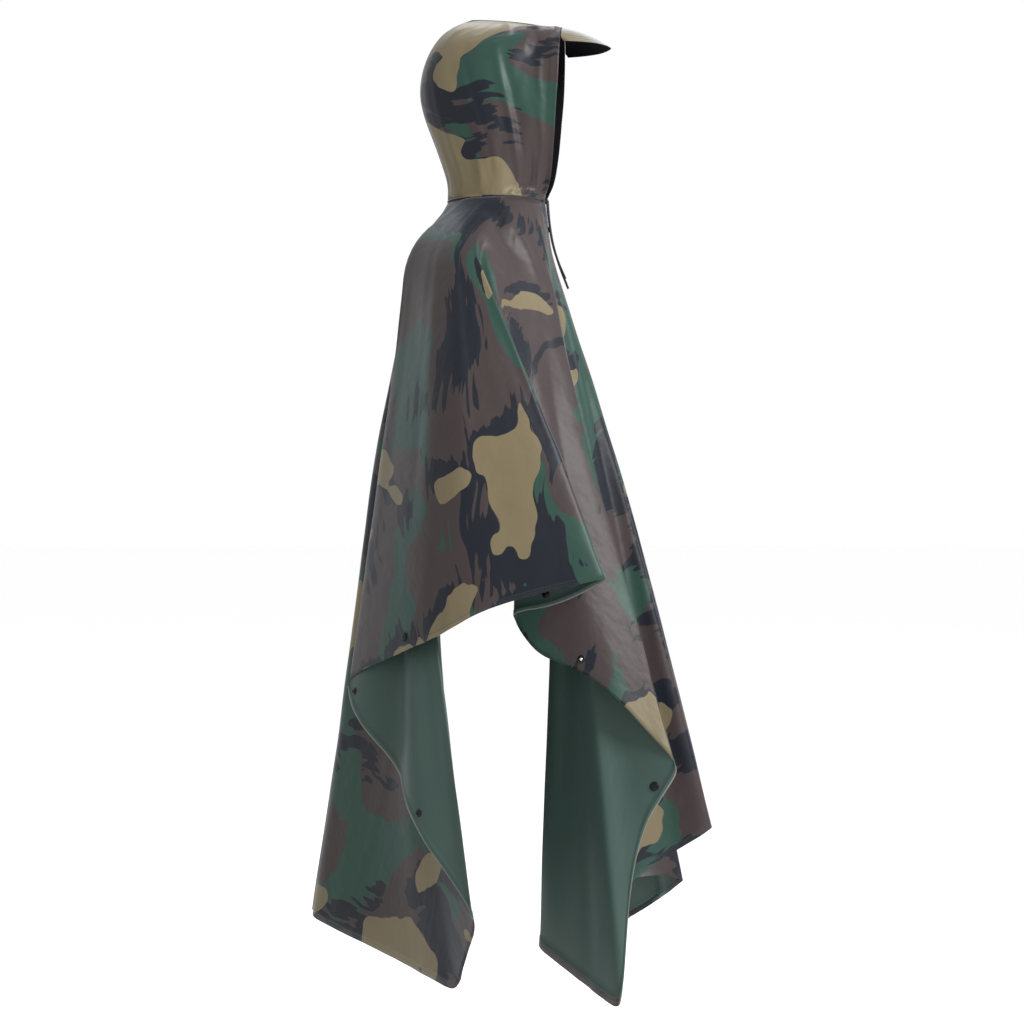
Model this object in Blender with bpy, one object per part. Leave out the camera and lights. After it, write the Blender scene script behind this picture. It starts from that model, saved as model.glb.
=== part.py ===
"""A rain poncho worn by an unseen figure: +X is the wearer's front, -Y the wearer's right, +Z up, metres.

The origin is the middle of the neck seam. The body is one flat rectangle with a neck hole, draped over shoulders:
each row of FOLDS is one line of the cut, from the neck hole to the outer edge, and where the drape takes it.
"""

import math
from collections import namedtuple

import bmesh
import bpy
from mathutils import Vector

# The cut of the body panel, flat
CUT_FRONT = 1.04
CUT_BACK = 1.10
CUT_SIDE = 0.73
NECK_FRONT = 0.0715
NECK_BACK = 0.0755
NECK_Y = 0.0713

# Cloth
WALL = 0.0012
SEAM_GAP = 0.0004
PANEL_STEPS = 13
COLUMN_WIDTH = 0.15
SHOULDER_ROUND = 0.05
BOW_ROUND = 0.16

# Press studs
STUD_ALONG_EDGE = (0.25, 0.47, 0.76)
STUD_FROM_EDGE = 0.018
STUD_CAP_R = 0.0065
STUD_CAP_H = 0.0018
STUD_POST_R = 0.0020
STUD_HOLE_R = 0.0030
STUD_LIFT = 0.0008
STUD_PATCH = 0.010
# The small stud at the throat: share across the strip before the front ridge, half its patch, row, part of that row
THROAT_PLACE = (0.50, 0.15, 0, 0.80)
THROAT_SIZE = 0.65

# Drawstring
CORD_R = 0.0018
CORD_POINTS = 24
CORD_NEAR = (
    (0.0749, -0.0112, 0.004),
    (0.0785, -0.011, -0.030),
    (0.0835, -0.012, -0.062),
    (0.0925, -0.013, -0.092),
    (0.1035, -0.013, -0.118),
)
CORD_FAR = (
    (0.0749, 0.0112, 0.004),
    (0.0780, 0.011, -0.032),
    (0.0835, 0.012, -0.064),
    (0.0930, 0.014, -0.096),
    (0.1060, 0.016, -0.130),
)


# The folds, clockwise from the front as seen from above. cut: where the line meets the outer edge of the flat
# panel (+x front, -y wearer's right). over: where it leaves the shoulder. mid: half way down. end: the outer
# edge. round: the share of each neighbouring strip that the fold is rounded over, small on a sharp fold.
Fold = namedtuple("Fold", "name cut over mid end round")
FOLDS = (
    Fold("front_ridge", (CUT_FRONT, -0.10),
         (0.078, -0.015, -0.070), (0.180, -0.035, -0.375), (0.322, -0.060, -0.935), 0.22),
    Fold("front_pocket", (CUT_FRONT, -0.46),
         (0.079, -0.052, -0.076), (0.100, -0.100, -0.300), (0.075, -0.120, -1.095), 0.14),
    Fold("near_front_corner", (CUT_FRONT, -CUT_SIDE),
         (0.079, -0.063, -0.080), (0.139, -0.154, -0.596), (0.195, -0.290, -1.150), 0.10),
    Fold("front_flap", (0.85, -CUT_SIDE),
         (0.078, -0.070, -0.083), (0.150, -0.142, -0.489), (0.219, -0.240, -0.945), 0.45),
    Fold("front_flute", (0.662, -CUT_SIDE),
         (0.075, -0.080, -0.088), (0.147, -0.150, -0.370), (0.274, -0.232, -0.826), 0.14),
    Fold("chest_crease", (0.50, -CUT_SIDE),
         (0.052, -0.112, -0.090), (0.094, -0.178, -0.330), (0.167, -0.236, -0.712), 0.45),
    Fold("pocket_lip", (0.38, -CUT_SIDE),
         (0.020, -0.142, -0.088), (0.068, -0.195, -0.310), (0.078, -0.212, -0.670), 0.30),
    Fold("sleeve_pocket", (0.307, -CUT_SIDE),
         (-0.003, -0.160, -0.086), (0.050, -0.205, -0.276), (0.040, -0.198, -0.615), 0.16),
    Fold("sleeve_ridge", (0.155, -CUT_SIDE),
         (-0.020, -0.175, -0.083), (0.051, -0.245, -0.259), (0.178, -0.300, -0.561), 0.16),
    Fold("sleeve_mid", (0.00, -CUT_SIDE),
         (-0.038, -0.178, -0.083), (-0.002, -0.272, -0.310), (0.031, -0.312, -0.598), 0.50),
    Fold("sleeve_back", (-0.13, -CUT_SIDE),
         (-0.060, -0.170, -0.082), (-0.055, -0.264, -0.330), (-0.053, -0.292, -0.640), 0.50),
    Fold("sleeve_rear", (-0.28, -CUT_SIDE),
         (-0.090, -0.142, -0.080), (-0.108, -0.205, -0.340), (-0.124, -0.232, -0.673), 0.50),
    Fold("back_flute", (-0.41, -CUT_SIDE),
         (-0.125, -0.100, -0.076), (-0.143, -0.118, -0.306), (-0.206, -0.140, -0.729), 0.18),
    Fold("back_pocket", (-0.95, -CUT_SIDE),
         (-0.124, -0.080, -0.082), (-0.128, -0.112, -0.290), (0.000, -0.370, -1.017), 0.10),
    Fold("near_back_corner", (-CUT_BACK, -CUT_SIDE),
         (-0.123, -0.074, -0.084), (-0.120, -0.180, -0.600), (-0.029, -0.310, -1.126), 0.10),
    Fold("back_panel", (-CUT_BACK, -0.52),
         (-0.121, -0.060, -0.088), (-0.150, -0.120, -0.550), (-0.150, -0.195, -1.100), 0.50),
    Fold("back_ridge", (-CUT_BACK, -0.31),
         (-0.121, -0.042, -0.092), (-0.172, -0.062, -0.360), (-0.268, -0.090, -1.063), 0.30),
    Fold("back_valley", (-CUT_BACK, 0.00),
         (-0.120, 0.000, -0.095), (-0.135, 0.010, -0.400), (-0.150, 0.035, -1.030), 0.40),
    Fold("far_back_ridge", (-CUT_BACK, 0.33),
         (-0.118, 0.045, -0.092), (-0.160, 0.075, -0.380), (-0.250, 0.160, -1.045), 0.40),
    Fold("far_back_corner", (-CUT_BACK, CUT_SIDE),
         (-0.122, 0.076, -0.084), (-0.125, 0.170, -0.600), (-0.105, 0.325, -1.115), 0.10),
    Fold("far_back_pocket", (-0.85, CUT_SIDE),
         (-0.124, 0.084, -0.082), (-0.130, 0.118, -0.300), (-0.112, 0.285, -0.940), 0.14),
    Fold("far_back_flute", (-0.39, CUT_SIDE),
         (-0.124, 0.102, -0.076), (-0.142, 0.122, -0.310), (-0.205, 0.150, -0.722), 0.20),
    Fold("far_sleeve_rear", (-0.30, CUT_SIDE),
         (-0.088, 0.142, -0.080), (-0.106, 0.206, -0.345), (-0.125, 0.248, -0.668), 0.50),
    Fold("far_sleeve_back", (-0.12, CUT_SIDE),
         (-0.058, 0.170, -0.082), (-0.052, 0.262, -0.330), (-0.048, 0.292, -0.632), 0.50),
    Fold("far_sleeve_mid", (0.02, CUT_SIDE),
         (-0.036, 0.178, -0.083), (0.000, 0.268, -0.310), (0.040, 0.305, -0.592), 0.50),
    Fold("far_sleeve_ridge", (0.17, CUT_SIDE),
         (-0.015, 0.174, -0.083), (0.050, 0.238, -0.265), (0.160, 0.292, -0.560), 0.20),
    Fold("far_sleeve_pocket", (0.38, CUT_SIDE),
         (0.010, 0.150, -0.088), (0.058, 0.195, -0.300), (0.072, 0.225, -0.690), 0.16),
    Fold("far_front_flute", (0.88, CUT_SIDE),
         (0.064, 0.094, -0.092), (0.128, 0.178, -0.480), (0.222, 0.305, -1.000), 0.35),
    Fold("far_front_corner", (CUT_FRONT, CUT_SIDE),
         (0.071, 0.082, -0.088), (0.140, 0.185, -0.600), (0.180, 0.325, -1.150), 0.10),
    Fold("far_front_ridge", (CUT_FRONT, 0.45),
         (0.078, 0.058, -0.080), (0.150, 0.100, -0.420), (0.275, 0.200, -1.060), 0.22),
    Fold("front_valley", (CUT_FRONT, 0.17),
         (0.079, 0.022, -0.070), (0.108, 0.030, -0.400), (0.125, 0.060, -1.020), 0.35),
)

# The hood in level sections, U-shaped with the open side at the face. z and x at the back seam, z and x at the face
# edge, then the half width of the section and of its face edge.
HoodRing = namedtuple("HoodRing", "back_z back_x face_z face_x half_width face_half")
HOOD = (
    HoodRing(0.000, -0.0755, 0.000, 0.0720, 0.0705, 0.010),
    HoodRing(0.030, -0.0765, 0.030, 0.0825, 0.0730, 0.034),
    HoodRing(0.080, -0.0925, 0.080, 0.0890, 0.0800, 0.057),
    HoodRing(0.133, -0.1120, 0.133, 0.0930, 0.0860, 0.068),
    HoodRing(0.171, -0.1180, 0.171, 0.0960, 0.0880, 0.072),
    HoodRing(0.210, -0.1110, 0.206, 0.0975, 0.0840, 0.070),
    HoodRing(0.243, -0.0930, 0.234, 0.0985, 0.0690, 0.059),
    HoodRing(0.265, -0.0680, 0.252, 0.0990, 0.0430, 0.038),
    HoodRing(0.276, -0.0400, 0.259, 0.0990, 0.0000, 0.000),
)
CROWN_RISE = 0.006
NECK_HUG = 0.06  # the share of the height over which the throat keeps to the neck hole
HOOD_COLUMNS = 13
HOOD_ROWS = 14

# The peak
PEAK_LENGTH = 0.072
PEAK_DROOP = 0.030
PEAK_WALL = 0.0024
PEAK_TEMPLE_LEVEL = 0.62
PEAK_GAP = 0.0006
PEAK_COLUMNS = 20
PEAK_ROWS = 5


def clear_scene():
    for obj in list(bpy.data.objects):
        bpy.data.objects.remove(obj, do_unlink=True)


def material(name, colour, roughness, metallic=0.0):
    made = bpy.data.materials.new(name)
    made.use_nodes = True
    shader = made.node_tree.nodes["Principled BSDF"]
    shader.inputs["Base Color"].default_value = (*colour, 1.0)
    shader.inputs["Roughness"].default_value = roughness
    shader.inputs["Metallic"].default_value = metallic
    return made


def add_object(name, mesh, made_material, smooth=True):
    obj = bpy.data.objects.new(name, mesh)
    bpy.context.collection.objects.link(obj)
    mesh.materials.append(made_material)
    mesh.polygons.foreach_set("use_smooth", [smooth] * len(mesh.polygons))
    return obj


# ---------------------------------------------------------------- the drape of the body panel


def rounded_line(points, rounds):
    """Short straight runs through points, each inner corner rounded off over the length in rounds."""
    line = [points[0]]
    for before, corner, after, reach in zip(points, points[1:], points[2:], rounds):
        back = min(reach, 0.45 * (corner - before).length)
        ahead = min(reach, 0.45 * (after - corner).length)
        enter = corner + (before - corner).normalized() * back
        leave = corner + (after - corner).normalized() * ahead
        for step in range(9):
            t = step / 8
            line.append(enter.lerp(corner, t).lerp(corner.lerp(leave, t), t))
    line.append(points[-1])
    return line


def along(line, share):
    """The point at this share of a line's length."""
    lengths = [(b - a).length for a, b in zip(line, line[1:])]
    left = share * sum(lengths)
    for start, end, length in zip(line, line[1:], lengths):
        if left <= length:
            return start.lerp(end, left / length)
        left -= length
    return line[-1].copy()


def neck_point(cut):
    """Where a fold leaves the neck hole."""
    heading = Vector((cut[0], cut[1], 0.0)).normalized()
    reach = NECK_FRONT if heading.x > 0 else NECK_BACK
    return Vector((reach * heading.x, NECK_Y * heading.y, -SEAM_GAP))


def fold_line(fold):
    corners = [neck_point(fold.cut), Vector(fold.over), Vector(fold.mid), Vector(fold.end)]
    return rounded_line(corners, (SHOULDER_ROUND, BOW_ROUND))


def strip_of(side, along_edge):
    """The strip, and the share across it, that meets the side edge here: side -1 near, 1 far."""
    for number, fold in enumerate(FOLDS):
        after = FOLDS[(number + 1) % len(FOLDS)]
        on_side = fold.cut[1] == side * CUT_SIDE and after.cut[1] == side * CUT_SIDE
        low, high = sorted((fold.cut[0], after.cut[0]))
        if on_side and low <= along_edge <= high:
            return number, (along_edge - fold.cut[0]) / (after.cut[0] - fold.cut[0])
    raise ValueError("no strip meets the side edge there")


def strip_width(number):
    after = FOLDS[(number + 1) % len(FOLDS)]
    return (Vector(after.cut) - Vector(FOLDS[number].cut)).length


def stud_strips():
    """Name, strip, share across it and half share of the flat patch of every stud along the side edges."""
    strips = []
    for label, side in (("near", -1), ("far", 1)):
        for count, distance in enumerate(STUD_ALONG_EDGE, 1):
            for end, sign in (("front", 1), ("back", -1)):
                number, share = strip_of(side, sign * distance)
                half = STUD_PATCH / strip_width(number)
                strips.append((f"stud_{label}_{end}_{count}", number, share, half))
    return strips


def strip_columns():
    """(fold number, share of the strip after it) of every column of the panel. A stud has one on either side."""
    patches = stud_strips()
    columns = []
    for number, fold in enumerate(FOLDS):
        after = FOLDS[(number + 1) % len(FOLDS)]
        count = max(2, round(strip_width(number) / COLUMN_WIDTH))
        shares = {step / count for step in range(count)}
        shares |= {fold.round, 1.0 - after.round}
        kept = []
        for share in sorted(shares):
            if 0.0 <= share < 1.0 and (not kept or share - kept[-1] > 0.09):
                kept.append(share)
        for _, strip, share, half in patches:
            if strip == number:
                kept = [other for other in kept if other == 0.0 or abs(other - share) > 2 * half]
                kept += [share - half, share + half]
        columns += [(number, share) for share in sorted(kept)]
    return columns


def fold_ring(lines, down):
    """The corners, at one share of the way down, whose rounded folds pass through the lines of the table."""
    wanted = [along(line, down) for line in lines]
    corners = list(wanted)
    for _ in range(12):
        pulls = [corners[i - 1] + corners[(i + 1) % len(FOLDS)] for i in range(len(FOLDS))]
        corners = [
            (point - 0.25 * fold.round * pull) / (1 - 0.5 * fold.round)
            for point, pull, fold in zip(wanted, pulls, FOLDS)
        ]
    return corners


def draped(ring, number, share):
    """A point of the panel: a share across the strip after a fold."""
    count = len(FOLDS)
    here = ring[number]
    after = ring[(number + 1) % count]
    enter = FOLDS[number].round
    leave = FOLDS[(number + 1) % count].round
    if share < enter:
        start = here.lerp(ring[number - 1], enter)
        stop = here.lerp(after, enter)
        t = 0.5 + 0.5 * share / enter
        return start.lerp(here, t).lerp(here.lerp(stop, t), t)
    if share > 1.0 - leave:
        start = after.lerp(here, leave)
        stop = after.lerp(ring[(number + 2) % count], leave)
        t = 0.5 * (share - 1.0 + leave) / leave
        return start.lerp(after, t).lerp(after.lerp(stop, t), t)
    return here.lerp(after, share)


def grid_mesh(name, rows, closed):
    """A mesh through rows of points, joined round when closed."""
    made = bmesh.new()
    vertices = [[made.verts.new(point) for point in row] for row in rows]
    for upper, lower in zip(vertices, vertices[1:]):
        count = len(upper)
        for column in range(count if closed else count - 1):
            after = (column + 1) % count
            corners = []
            for vertex in (upper[column], upper[after], lower[after], lower[column]):
                if vertex not in corners:
                    corners.append(vertex)
            made.faces.new(corners)
    bmesh.ops.recalc_face_normals(made, faces=made.faces)
    mesh = bpy.data.meshes.new(name)
    made.to_mesh(mesh)
    made.free()
    return mesh


def thicken(obj, wall):
    solid = obj.modifiers.new("wall", "SOLIDIFY")
    solid.thickness = wall
    solid.offset = 0.0
    solid.use_even_offset = False


def body_rows():
    lines = [fold_line(fold) for fold in FOLDS]
    columns = strip_columns()
    rows = []
    for step in range(PANEL_STEPS + 1):
        ring = fold_ring(lines, row_down(step))
        rows.append([draped(ring, number, share) for number, share in columns])
    return rows


def row_down(step):
    """The share of the way down of a row of the panel."""
    return (step / PANEL_STEPS) ** 1.15


def panel_seat(number, share, half, row, part):
    """The middle of a patch of the faceted panel and its outward normal: part of the way from a row to the next."""
    lines = [fold_line(fold) for fold in FOLDS]
    upper = fold_ring(lines, row_down(row))
    lower = fold_ring(lines, row_down(row + 1))
    left = draped(upper, number, share - half).lerp(draped(lower, number, share - half), part)
    right = draped(upper, number, share + half).lerp(draped(lower, number, share + half), part)
    rise = draped(upper, number, share) - draped(lower, number, share)
    return left.lerp(right, 0.5), rise.cross(right - left).normalized()


def add_body(seats):
    cloth = material("poncho_cloth", (0.085, 0.078, 0.058), 0.45)
    obj = add_object("body_panel", grid_mesh("body_panel", body_rows(), True), cloth)
    thicken(obj, WALL)
    holes = add_object("stud_holes", stud_holes_mesh(seats), cloth)
    holes.hide_render = True
    holes.display_type = "WIRE"
    cut = obj.modifiers.new("stud_holes", "BOOLEAN")
    cut.object = holes
    cut.solver = "MANIFOLD"
    return obj


# ---------------------------------------------------------------- press studs


def turned(profile, seat, normal, sides):
    """Rings of points about the normal, through (radius, height) pairs; a pair of radius 0 is one point."""
    across = normal.orthogonal().normalized()
    other = normal.cross(across)
    rows = []
    for radius, height in profile:
        row = []
        for step in range(sides):
            angle = 2 * math.pi * step / sides
            spoke = across * math.cos(angle) + other * math.sin(angle)
            row.append(seat + normal * height + spoke * radius)
        rows.append(row)
    return rows


def turned_into(made, profile, seat, normal, sides):
    rows = [[made.verts.new(point) for point in row] for row in turned(profile, seat, normal, sides)]
    faces = [made.faces.new(rows[0]), made.faces.new(rows[-1][::-1])]
    for upper, lower in zip(rows, rows[1:]):
        for step in range(sides):
            after = (step + 1) % sides
            faces.append(made.faces.new((upper[after], upper[step], lower[step], lower[after])))
    bmesh.ops.recalc_face_normals(made, faces=faces)


def stud_holes_mesh(seats):
    made = bmesh.new()
    for seat, normal, size in seats:
        turned_into(made, ((STUD_HOLE_R * size, 0.005), (STUD_HOLE_R * size, -0.005)), seat, normal, 8)
    mesh = bpy.data.meshes.new("stud_holes")
    made.to_mesh(mesh)
    made.free()
    return mesh


def add_stud(name, seat, normal, size, finish):
    """A cap outside and a socket inside, joined by the post through the cloth."""
    cap = STUD_LIFT + WALL / 2
    radius = STUD_CAP_R * size
    height = STUD_CAP_H * size
    profile = (
        (0.55 * radius, cap + height),
        (0.90 * radius, cap + 0.75 * height),
        (radius, cap + 0.30 * height),
        (0.96 * radius, cap),
        (STUD_POST_R * size, cap),
        (STUD_POST_R * size, -cap),
        (0.86 * radius, -cap),
        (0.86 * radius, -cap - 0.5 * height),
        (0.50 * radius, -cap - 0.6 * height),
        (0.40 * radius, -cap - 1.5 * height),
    )
    made = bmesh.new()
    turned_into(made, profile, seat, normal, 14)
    mesh = bpy.data.meshes.new(name)
    made.to_mesh(mesh)
    made.free()
    return add_object(name, mesh, finish, smooth=False)


def stud_seats():
    """Name, seat, outward normal and size of every stud."""
    last = PANEL_STEPS - 1
    down = 1.0 - STUD_FROM_EDGE / (CUT_SIDE - NECK_Y)
    part = (down - row_down(last)) / (1.0 - row_down(last))
    seats = []
    for name, number, share, half in stud_strips():
        seats.append((name, *panel_seat(number, share, half, last, part), 1.0))
    seats.append(("stud_throat", *panel_seat(len(FOLDS) - 1, *THROAT_PLACE), THROAT_SIZE))
    return seats


# ---------------------------------------------------------------- drawstring


def smooth_route(route, count):
    """Evenly shared points of a smooth curve through the route."""
    points = [Vector(point) for point in route]
    ends = [points[0] * 2 - points[1]] + points + [points[-1] * 2 - points[-2]]
    made = []
    for step in range(count + 1):
        place = step / count * (len(points) - 1)
        low = min(int(place), len(points) - 2)
        t = place - low
        p0, p1, p2, p3 = ends[low : low + 4]
        curved = (2 * p0 - 5 * p1 + 4 * p2 - p3) * t * t + (3 * p1 - p0 - 3 * p2 + p3) * t ** 3
        made.append(0.5 * (2 * p1 + (p2 - p0) * t + curved))
    return made


def add_cord(name, route, finish):
    curve = bpy.data.curves.new(name, "CURVE")
    curve.dimensions = "3D"
    curve.bevel_depth = CORD_R
    curve.bevel_resolution = 2
    curve.use_fill_caps = True
    points = smooth_route(route, CORD_POINTS)
    spline = curve.splines.new("POLY")
    spline.points.add(len(points) - 1)
    for made, point in zip(spline.points, points):
        made.co = (*point, 1.0)
    obj = bpy.data.objects.new(name, curve)
    bpy.context.collection.objects.link(obj)
    curve.materials.append(finish)
    return obj


# ---------------------------------------------------------------- hood and peak


def smooth_row(rows, share):
    """The table's values at a share of its height, eased between rows."""
    place = share * (len(rows) - 1)
    low = min(int(place), len(rows) - 2)
    t = place - low
    before = rows[max(low - 1, 0)]
    after = rows[min(low + 2, len(rows) - 1)]
    values = []
    for p0, p1, p2, p3 in zip(before, rows[low], rows[low + 1], after):
        linear = 2 * p1 + (p2 - p0) * t
        curved = (2 * p0 - 5 * p1 + 4 * p2 - p3) * t * t + (3 * p1 - p0 - 3 * p2 + p3) * t ** 3
        values.append(0.5 * (linear + curved))
    return HoodRing(*values)


def hood_point(side, across, up):
    """across runs from the back seam, 0, to the face edge, 1; up from the neck, 0, to the crown, 1."""
    ring = smooth_row(HOOD, up)
    middle = 0.5 * (ring.back_x + ring.face_x)
    turn = across * math.radians(150)
    curl = math.sin(min(turn, math.pi / 2))
    if turn > math.pi / 2:
        fall = (turn - math.pi / 2) / math.radians(60)
        y = ring.half_width + (ring.face_half - ring.half_width) * (3 * fall ** 2 - 2 * fall ** 3)
        narrow = 1 - (ring.face_half / ring.half_width) ** 2
        level = ring.half_width * math.sqrt(1 - narrow * fall ** 2)
        y += (level - y) * math.exp(-((up / NECK_HUG) ** 2))
        x = middle + (ring.face_x - middle) * fall
    else:
        y = ring.half_width * curl ** 0.9
        x = middle + (ring.back_x - middle) * math.cos(turn)
    z = ring.back_z + (ring.face_z - ring.back_z) * across
    z += CROWN_RISE * up ** 4 * math.sin(math.pi * across)
    return Vector((x, side * (max(y, 0.0) + SEAM_GAP / 2 + WALL / 2), z + WALL / 2 + SEAM_GAP))


def hood_rows(side):
    rows = []
    for row in range(HOOD_ROWS + 1):
        up = row / HOOD_ROWS
        rows.append([hood_point(side, column / HOOD_COLUMNS, up) for column in range(HOOD_COLUMNS + 1)])
    return rows


def add_hood(name, side):
    cloth = material(name + "_cloth", (0.070, 0.080, 0.060), 0.45)
    obj = add_object(name, grid_mesh(name, hood_rows(side), False), cloth)
    thicken(obj, WALL)
    return obj


def peak_root(share):
    """A point of the face edge, from the near temple, 0, over the forehead to the far one, 1."""
    lift = 1.0 - abs(2 * share - 1.0)
    up = PEAK_TEMPLE_LEVEL + (1.0 - PEAK_TEMPLE_LEVEL) * lift ** 0.6
    side = -1 if share < 0.5 else 1
    point = hood_point(side, 1.0, min(up, 1.0))
    if share == 0.5:
        point.y = 0.0
    return point


def peak_rows():
    rows = []
    for row in range(PEAK_ROWS + 1):
        out = row / PEAK_ROWS
        points = []
        for column in range(PEAK_COLUMNS + 1):
            share = column / PEAK_COLUMNS
            root = peak_root(share)
            spread = math.sin(math.pi * share) ** 0.7
            reach = PEAK_GAP + (0.004 + (PEAK_LENGTH - 0.004) * spread) * out
            drop = PEAK_DROOP * spread * out ** 1.3
            points.append(root + Vector((reach, 0.0, -drop)))
        rows.append(points)
    return rows


def add_peak():
    cloth = material("peak_cloth", (0.075, 0.080, 0.062), 0.40)
    obj = add_object("hood_peak", grid_mesh("hood_peak", peak_rows(), False), cloth)
    thicken(obj, PEAK_WALL)
    return obj


def main():
    clear_scene()
    brass = material("stud_metal", (0.030, 0.028, 0.025), 0.40, 0.9)
    black = material("cord_black", (0.010, 0.010, 0.011), 0.70)
    seats = stud_seats()
    add_body([(seat, normal, size) for _, seat, normal, size in seats])
    for name, seat, normal, size in seats:
        add_stud(name, seat, normal, size, brass)
    add_cord("drawstring_near", CORD_NEAR, black)
    add_cord("drawstring_far", CORD_FAR, black)
    add_hood("hood_near", -1)
    add_hood("hood_far", 1)
    add_peak()


main()
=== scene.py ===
"""The looks of the rain poncho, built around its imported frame.

+X is the wearer's front, -Y the wearer's right, +Z up, in metres; the origin is the middle of
the neck seam. Cloth pieces are thin closed shells on the forms of their solids. Places on the
body panel are given in the flat cut: x to the front and y to the wearer's left, from the middle
of the neck hole.
"""

import math
from collections import namedtuple

import bpy
import numpy as np
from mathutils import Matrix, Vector


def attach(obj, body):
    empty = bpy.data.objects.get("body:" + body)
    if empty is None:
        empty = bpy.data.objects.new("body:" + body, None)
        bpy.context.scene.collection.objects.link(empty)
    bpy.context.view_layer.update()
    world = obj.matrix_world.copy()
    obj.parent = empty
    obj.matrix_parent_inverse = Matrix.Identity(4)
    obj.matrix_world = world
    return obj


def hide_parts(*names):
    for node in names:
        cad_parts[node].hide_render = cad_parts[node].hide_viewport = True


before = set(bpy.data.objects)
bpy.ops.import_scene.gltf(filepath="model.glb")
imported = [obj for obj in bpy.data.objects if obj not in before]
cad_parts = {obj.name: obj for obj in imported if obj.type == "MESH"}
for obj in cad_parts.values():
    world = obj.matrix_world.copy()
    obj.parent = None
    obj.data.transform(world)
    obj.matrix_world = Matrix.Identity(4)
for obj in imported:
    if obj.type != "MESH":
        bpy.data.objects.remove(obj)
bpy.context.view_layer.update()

# -------- sizes, as in the CAD source

CUT_FRONT = 1.04
CUT_BACK = 1.10
CUT_SIDE = 0.73
NECK_FRONT = 0.0715
NECK_BACK = 0.0755
NECK_Y = 0.0713
SEAM_GAP = 0.0004
CAD_WALL = 0.0012
SHOULDER_ROUND = 0.05
BOW_ROUND = 0.16

STUD_ALONG_EDGE = (0.25, 0.47, 0.76)
STUD_FROM_EDGE = 0.018
STUD_RADIUS = 0.0065
THROAT_STUD_SIZE = 0.65

CORD_DIAMETER = 0.0036
CORD_POINTS = 24
CORD_NEAR = ((0.0749, -0.0112, 0.004), (0.0785, -0.011, -0.030), (0.0835, -0.012, -0.062),
             (0.0925, -0.013, -0.092), (0.1035, -0.013, -0.118))
CORD_FAR = ((0.0749, 0.0112, 0.004), (0.0780, 0.011, -0.032), (0.0835, 0.012, -0.064),
            (0.0930, 0.014, -0.096), (0.1060, 0.016, -0.130))

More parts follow.
